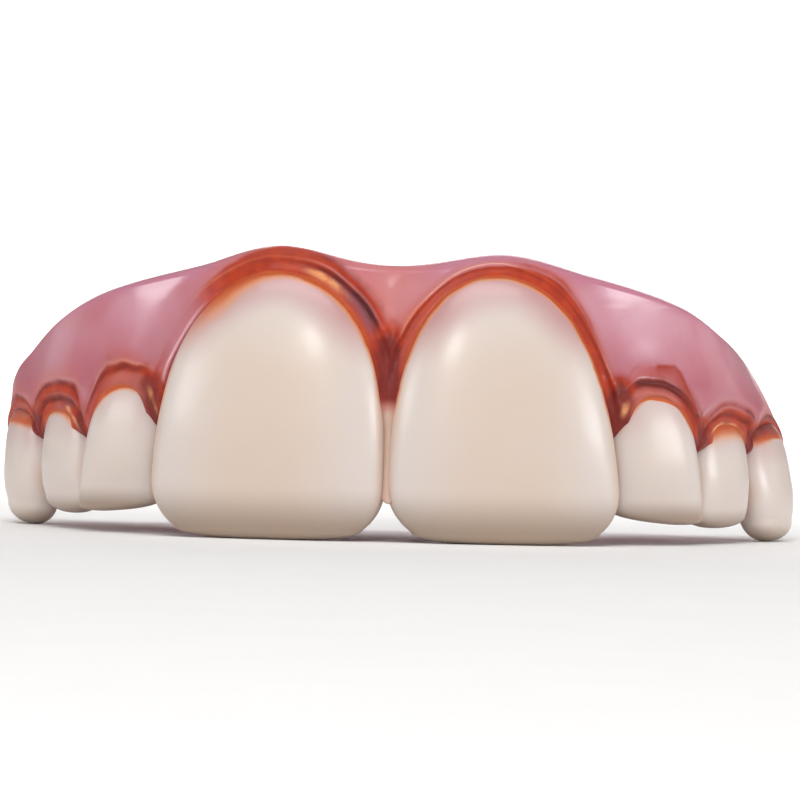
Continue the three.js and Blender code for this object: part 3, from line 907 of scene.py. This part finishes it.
# Painted gold highlights standing in for glints on the glossy stain.
glint_spot = noted(tree, "gold") * streak.step(0.25, 0.6, 0.5, 1.0) * front
colour = glint_spot.step(0.1, 0.9).mix(colour, GLINT_GOLD)
colour = web.step(0.0, 0.5).mix(colour, WEB_ROSE)
colour = (web.step(0.35, 1.0) * 0.95).mix(colour, WEB_CREAM)
quiet = middle * 0.9 + end
dull = (groove + second + deep + band * 0.9 + stray * 0.7 + quiet).step(0.0, 1.0)
waviness = (
    grain(tree, 800, 2) * 0.015
    + cloud * 0.04
    + blotch * 0.10
    - outer.band(0.0, 0.17) * ink * 0.03
)
dent = Wire.node(
    tree, "ShaderNodeBump", "Normal", {}, {"Strength": 1.0, "Distance": MM, "Height": waviness},
)
put_finish(tree, {
    "Base Color": colour,
    "Roughness": 0.285 + cloud * 0.05 + dull * 0.3,
    "IOR": ACRYLIC_IOR,
    "Specular IOR Level": 0.4,
    "Specular Tint": (0.55, 0.9, 1.0, 1.0),
    "Normal": dent,
    "Subsurface Weight": 0.2,
    "Subsurface Radius": (1.0, 0.45, 0.35),
    "Subsurface Scale": 0.7 * MM,
    "Coat Weight": 0.9 * (1 - dull * 0.88),
    "Coat Roughness": 0.14,
})
gum.data.materials.append(gum_finish)
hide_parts("gum_base")
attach(gum, "root")


# Table: a pale sheet of matt card that the teeth stand on. It is cut narrow where it curves up
# behind them, so that the gum's ends don't mirror it, and a box of its own lights it there.
# Soft boxes stand above, in front, on both sides and dimly behind, in a white room.
CARD_LENGTH = 1.5
CARD_FRONT = 0.6
CARD_HALF_WIDTH = 0.9
CARD_NARROWING = 0.74
NARROW_FROM = 0.12
NARROW_OVER = 0.12
CARD_COLUMNS = 8
CARD_ROWS = 96
BEND_FROM = 0.25
BEND_RADIUS = 0.2
CARD_WHITE = dye(244, 243, 242)
CARD_PALE = dye(245, 244, 243)
bm = bmesh.new()
bmesh.ops.create_grid(bm, x_segments=CARD_COLUMNS, y_segments=CARD_ROWS, size=1)
for vert in bm.verts:
    run_back = (vert.co.y + 1) / 2 * CARD_LENGTH - CARD_FRONT
    bend = max(run_back - BEND_FROM, 0)
    turn = min(bend / BEND_RADIUS, math.pi / 2)
    past = bend - turn * BEND_RADIUS
    narrowed = min(max(run_back - NARROW_FROM, 0) / NARROW_OVER, 1)
    vert.co = Vector((
        vert.co.x * (CARD_HALF_WIDTH - CARD_NARROWING * narrowed),
        min(run_back, BEND_FROM) + BEND_RADIUS * math.sin(turn),
        BEND_RADIUS * (1 - math.cos(turn)) + past,
    ))
card = piece_from(bm, "pale_card")
card_finish, tree = new_finish("matt_card")
fibre = grain(tree, 120, 2)
put_finish(tree, {
    "Base Color": fibre.step(0.3, 0.7).mix(CARD_WHITE, CARD_PALE),
    "Roughness": 0.9,
    "Specular IOR Level": 0.1,
})
card.data.materials.append(card_finish)

ROOM_LIGHT = 0.25
scene = bpy.context.scene
world = bpy.data.worlds.new("white_room")
world.use_nodes = True
room = world.node_tree.nodes["Background"]
room.inputs["Color"].default_value = (1, 1, 1, 1)
room.inputs["Strength"].default_value = ROOM_LIGHT
scene.world = world

AIM_Z = 10.66
aim = Vector((0, FRONT_Y, AIM_Z)) * MM
SOFT_BOXES = {
    "top_box": dict(azimuth=0, elevation=64, away=0.60, width=0.50, height=0.30, power=1.7),
    "key_box": dict(azimuth=-5, elevation=24, away=0.45, width=0.08, height=0.07, power=0.37),
    "left_box": dict(azimuth=-58, elevation=14, away=0.45, width=0.28, height=0.08, power=0.38),
    "right_box": dict(azimuth=66, elevation=10, away=0.45, width=0.26, height=0.10, power=0.60),
    "left_strip": dict(azimuth=-116, elevation=8, away=0.40, width=0.14, height=0.14, power=0.02),
    "right_strip": dict(azimuth=112, elevation=8, away=0.40, width=0.14, height=0.14, power=0.03),
}
CARD_BOX = dict(width=1.2, height=0.30, power=4.5)
CARD_BOX_PLACE = Vector((0, 0.12, 0.42))
CARD_BOX_BACK = Vector((0, -1, 0.35))


def soft_box(name, box, shape, place, back):
    lamp = bpy.data.lights.new(name, "AREA")
    lamp.shape = shape
    lamp.size = box["width"]
    lamp.size_y = box["height"]
    lamp.energy = box["power"]
    holder = bpy.data.objects.new(name, lamp)
    holder.location = place
    holder.rotation_euler = back.to_track_quat("Z", "Y").to_euler()
    scene.collection.objects.link(holder)


for name, box in SOFT_BOXES.items():
    azimuth = math.radians(box["azimuth"])
    elevation = math.radians(box["elevation"])
    towards = Vector((
        math.sin(azimuth) * math.cos(elevation),
        -math.cos(azimuth) * math.cos(elevation),
        math.sin(elevation),
    ))
    soft_box(name, box, "ELLIPSE", aim + towards * box["away"], towards)
soft_box("card_box", CARD_BOX, "RECTANGLE", CARD_BOX_PLACE, CARD_BOX_BACK)


# Camera: a long lens almost level with the biting edges, a touch to the right and tipped clockwise.
# The aim point on the front of the teeth lies a little left of the picture's middle.
AZIMUTH = math.radians(2.5)
ELEVATION = math.radians(0.5)
ROLL = math.radians(1.3)
DISTANCE = 320 * MM
ASIDE = 1.04 * MM
LENS_MM = 193.9
SENSOR_MM = 36
NEAREST = 0.01
forward = Vector((
    -math.sin(AZIMUTH) * math.cos(ELEVATION),
    math.cos(AZIMUTH) * math.cos(ELEVATION),
    -math.sin(ELEVATION),
))
level_right = Vector((math.cos(AZIMUTH), math.sin(AZIMUTH), 0))
level_up = level_right.cross(forward)
right = level_right * math.cos(ROLL) + level_up * math.sin(ROLL)
up = level_up * math.cos(ROLL) - level_right * math.sin(ROLL)
lens = bpy.data.cameras.new("camera")
lens.lens = LENS_MM
lens.sensor_width = SENSOR_MM
lens.clip_start = NEAREST
camera = bpy.data.objects.new("camera", lens)
camera.matrix_world = Matrix((
    (right.x, up.x, -forward.x, 0),
    (right.y, up.y, -forward.y, 0),
    (right.z, up.z, -forward.z, 0),
    (0, 0, 0, 1),
))
camera.location = aim - forward * DISTANCE + right * ASIDE
scene.collection.objects.link(camera)
scene.camera = camera
scene.view_settings.view_transform = "Standard"
